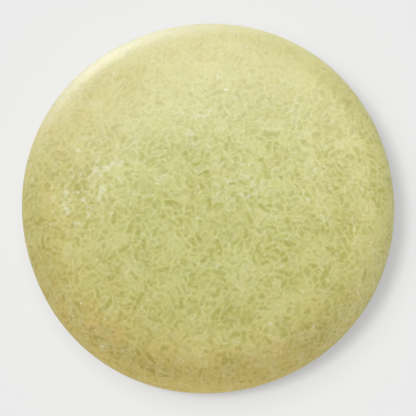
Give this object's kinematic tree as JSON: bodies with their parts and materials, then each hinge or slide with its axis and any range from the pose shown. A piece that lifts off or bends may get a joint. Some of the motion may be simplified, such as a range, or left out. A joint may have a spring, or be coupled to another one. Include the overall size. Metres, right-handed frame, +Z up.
{
  "type": "shaving soap puck",
  "caption": "Round domed shaving soap puck pressed from short soap noodles, with a flat base, for a shaving mug or bowl.",
  "frame": {"origin": "centre of the flat base", "axes": "+Z up through the crown, along the axis the puck was pressed on; the base lies on Z = 0; X and Y are any two directions across the round puck"},
  "size_m": [0.072, 0.072, 0.024],
  "materials": {
    "pressed_soap": "satin, waxy, slightly translucent olive-green soap",
    "olive_soap": "satin, translucent olive soap",
    "pale_soap": "matte, opaque cream soap with fine air bubbles"
  },
  "bodies": {
    "root": {"pressed_body": "pressed_soap", "olive_noodles": "olive_soap", "pale_noodles": "pale_soap"}
  },
  "joints": []
}
